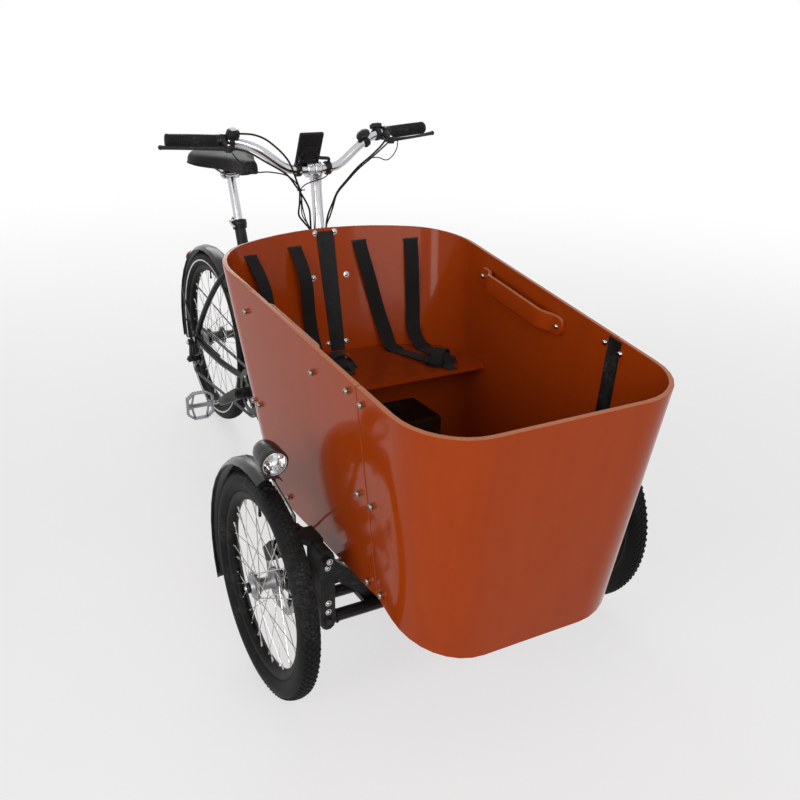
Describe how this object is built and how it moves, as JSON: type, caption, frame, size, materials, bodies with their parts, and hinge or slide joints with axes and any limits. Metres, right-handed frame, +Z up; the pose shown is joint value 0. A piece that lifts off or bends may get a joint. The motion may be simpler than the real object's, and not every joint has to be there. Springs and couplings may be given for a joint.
{
  "type": "electric cargo tricycle",
  "caption": "Electric cargo tricycle with a bent plywood box between two steered front wheels, a low frame, a drive unit at the cranks and one rear wheel.",
  "frame": {"origin": "on the ground under the centre of the whole tricycle", "axes": "+Z up, -Y towards the front (the box end), -X towards the rider's right"},
  "size_m": [0.9392, 2.3246, 1.1221],
  "materials": {
    "plywood": "lacquered bent plywood, glossy",
    "black_paint": "black powder coat, satin",
    "tyre": "black rubber with a fine tread",
    "wheel_metal": "black rims, silver spokes and hubs",
    "silver": "brushed silver",
    "dark_steel": "dark plated steel",
    "black_plastic": "black moulded plastic",
    "rubber": "black rubber",
    "webbing": "black woven strap",
    "red_lens": "red lens",
    "grey_cage": "grey cast alloy"
  },
  "bodies": {
    "trike_body": {"box_side_right": "plywood", "box_side_left": "plywood", "box_front": "plywood", "box_floor": "plywood", "bench": "plywood", "seam_strip_right": "black_paint", "seam_strip_left": "black_paint", "seam_strip_back": "black_paint", "handle_right": "plywood", "handle_left": "plywood", "battery": "black_plastic", "front_frame": "black_paint", "lower_arm_right": "black_paint", "lower_arm_left": "black_paint", "axle_brace_right": "black_paint", "axle_brace_left": "black_paint", "kingpin_carrier_right": "black_paint", "kingpin_carrier_left": "black_paint", "rear_frame": "black_paint", "rear_axle": "dark_steel", "motor": "black_plastic", "rear_mudguard": "black_plastic", "tail_lamp": "red_lens", "chain": "dark_steel", "derailleur": "black_paint", "seat_post": "silver", "saddle": "black_plastic", "harness_right": "webbing", "harness_left": "webbing"},
    "steering": {"steering_column": "dark_steel", "stem": "silver", "handlebar": "silver", "grip_right": "rubber", "grip_left": "rubber", "brake_lever_right": "black_plastic", "brake_lever_left": "black_plastic", "display": "black_plastic", "bar_cable_right": "black_plastic", "bar_cable_left": "black_plastic"},
    "drag_link_body": {"drag_link": "dark_steel"},
    "tie_rod_body": {"tie_rod": "dark_steel"},
    "knuckle_body_right": {"knuckle_right": "dark_steel", "front_mudguard_right": "black_plastic", "headlamp_right": "black_plastic"},
    "knuckle_body_left": {"knuckle_left": "dark_steel", "front_mudguard_left": "black_plastic", "headlamp_left": "black_plastic"},
    "front_wheel_body_right": {"front_wheel_right": "wheel_metal", "front_tyre_right": "tyre"},
    "front_wheel_body_left": {"front_wheel_left": "wheel_metal", "front_tyre_left": "tyre"},
    "rear_wheel_body": {"rear_wheel": "wheel_metal", "rear_tyre": "tyre"},
    "cranks": {"crankset": "black_paint"},
    "pedal_body_right": {"pedal_right": "grey_cage"},
    "pedal_body_left": {"pedal_left": "grey_cage"}
  },
  "joints": [
    {"name": "steer", "type": "hinge", "parent": "trike_body", "child": "steering", "pos_m": [0, -0.07987, 0.8], "axis": [0, 0.1219, 0.9925], "range_deg": [-33, 33]},
    {"name": "drag_link_turn", "type": "hinge", "parent": "steering", "child": "drag_link_body", "pos_m": [0.07635, -0.14353, 0.22465], "axis": [0, 0.1219, 0.9925], "range_deg": [-33, 33]},
    {"name": "kingpin_right_turn", "type": "hinge", "parent": "trike_body", "child": "knuckle_body_right", "pos_m": [-0.355, -0.688, 0.1908], "axis": [0, 0, 1], "range_deg": [-22, 22]},
    {"name": "kingpin_left_turn", "type": "hinge", "parent": "trike_body", "child": "knuckle_body_left", "pos_m": [0.355, -0.688, 0.1908], "axis": [0, 0, 1], "range_deg": [-22, 22]},
    {"name": "tie_rod_turn", "type": "hinge", "parent": "knuckle_body_left", "child": "tie_rod_body", "pos_m": [0.355, -0.593, 0.203], "axis": [0, 0, 1], "range_deg": [-22, 22]},
    {"name": "front_wheel_right_spin", "type": "hinge", "parent": "knuckle_body_right", "child": "front_wheel_body_right", "pos_m": [-0.426, -0.688, 0.254], "axis": [1, 0, 0], "continuous": true},
    {"name": "front_wheel_left_spin", "type": "hinge", "parent": "knuckle_body_left", "child": "front_wheel_body_left", "pos_m": [0.426, -0.688, 0.254], "axis": [1, 0, 0], "continuous": true},
    {"name": "rear_wheel_spin", "type": "hinge", "parent": "trike_body", "child": "rear_wheel_body", "pos_m": [0, 0.834, 0.305], "axis": [1, 0, 0], "continuous": true},
    {"name": "crank_spin", "type": "hinge", "parent": "trike_body", "child": "cranks", "pos_m": [0, 0.367, 0.262], "axis": [1, 0, 0], "continuous": true},
    {"name": "pedal_right_spin", "type": "hinge", "parent": "cranks", "child": "pedal_body_right", "pos_m": [-0.172, 0.52209, 0.18092], "axis": [1, 0, 0], "continuous": true},
    {"name": "pedal_left_spin", "type": "hinge", "parent": "cranks", "child": "pedal_body_left", "pos_m": [0.172, 0.21191, 0.34308], "axis": [1, 0, 0], "continuous": true}
  ],
  "couplings": [
    {"joint": "drag_link_turn", "follows": "steer", "ratio": -1},
    {"joint": "kingpin_right_turn", "follows": "steer", "ratio": 0.66667},
    {"joint": "kingpin_left_turn", "follows": "steer", "ratio": 0.66667},
    {"joint": "tie_rod_turn", "follows": "steer", "ratio": -0.66667}
  ]
}
